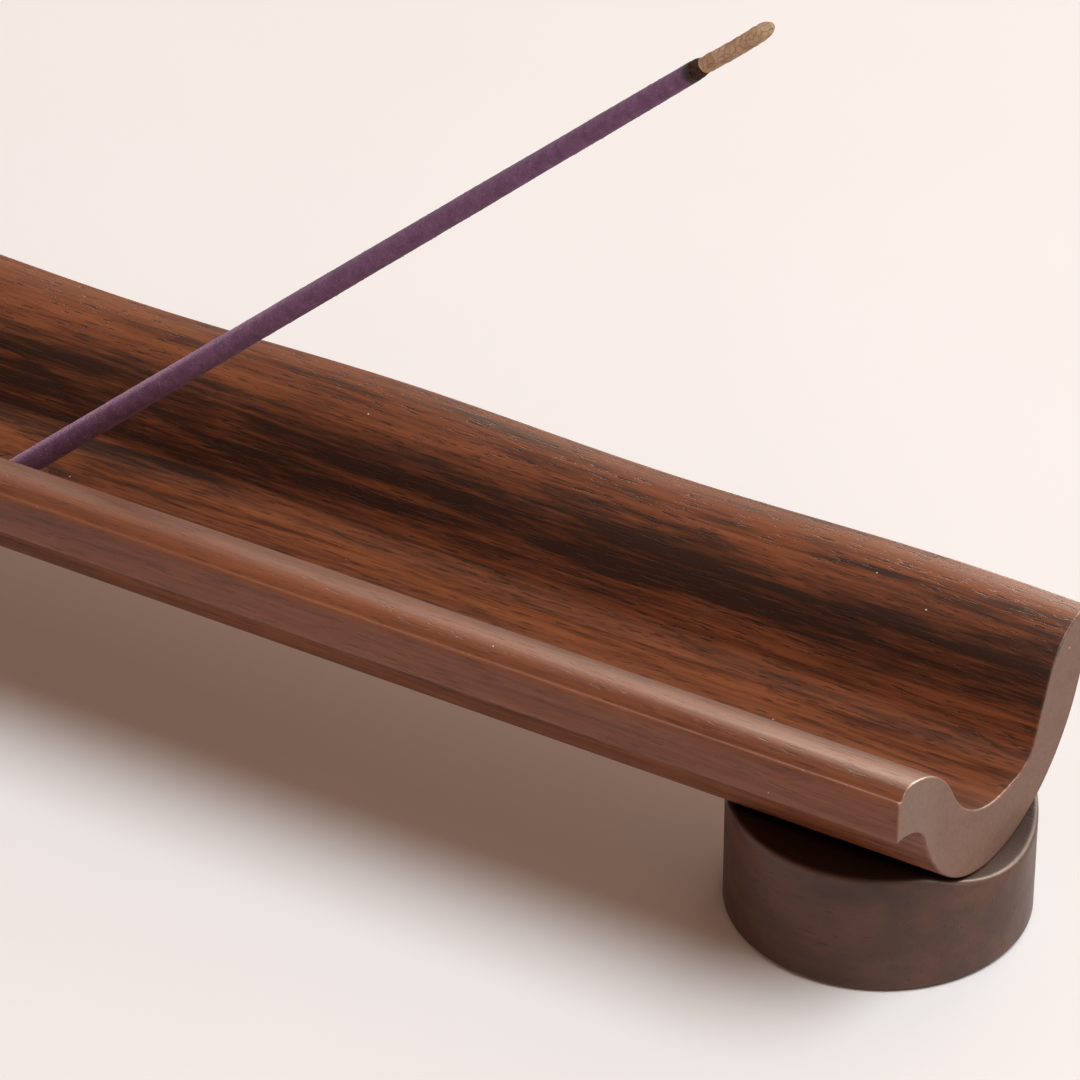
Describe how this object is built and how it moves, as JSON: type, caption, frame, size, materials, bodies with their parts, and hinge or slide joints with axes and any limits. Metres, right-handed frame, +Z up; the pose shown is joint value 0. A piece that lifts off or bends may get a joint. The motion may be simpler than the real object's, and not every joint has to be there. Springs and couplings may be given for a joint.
{
  "type": "incense stick holder",
  "caption": "Long wooden trough on two cradled disc feet, with a leaning incense stick that lifts out of a sleeve in the trough's floor.",
  "frame": {"origin": "on the resting plane, under the middle of the trough", "axes": "+X along the trough towards the end the stick leans to, +Y towards the back wall, +Z up"},
  "size_m": [0.1846, 0.0386, 0.093],
  "materials": {
    "trough_wood": "satin",
    "foot_wood": "satin",
    "felt": "matte",
    "screw_steel": "satin",
    "sleeve_brass": "satin",
    "incense": "matte",
    "char": "matte",
    "ash": "matte"
  },
  "bodies": {
    "holder": {"tray": "trough_wood", "foot_left": "foot_wood", "foot_right": "foot_wood", "felt_pad_left": "felt", "felt_pad_right": "felt", "foot_screws": "screw_steel", "stick_sleeve": "sleeve_brass"},
    "stick": {"incense_stick": "incense", "char_ring": "char", "ash_tip": "ash"}
  },
  "joints": [
    {"name": "stick_lift", "type": "slide", "parent": "holder", "child": "stick", "axis": [0.7536, 0, 0.6574], "range_m": [0, 0.03]}
  ]
}
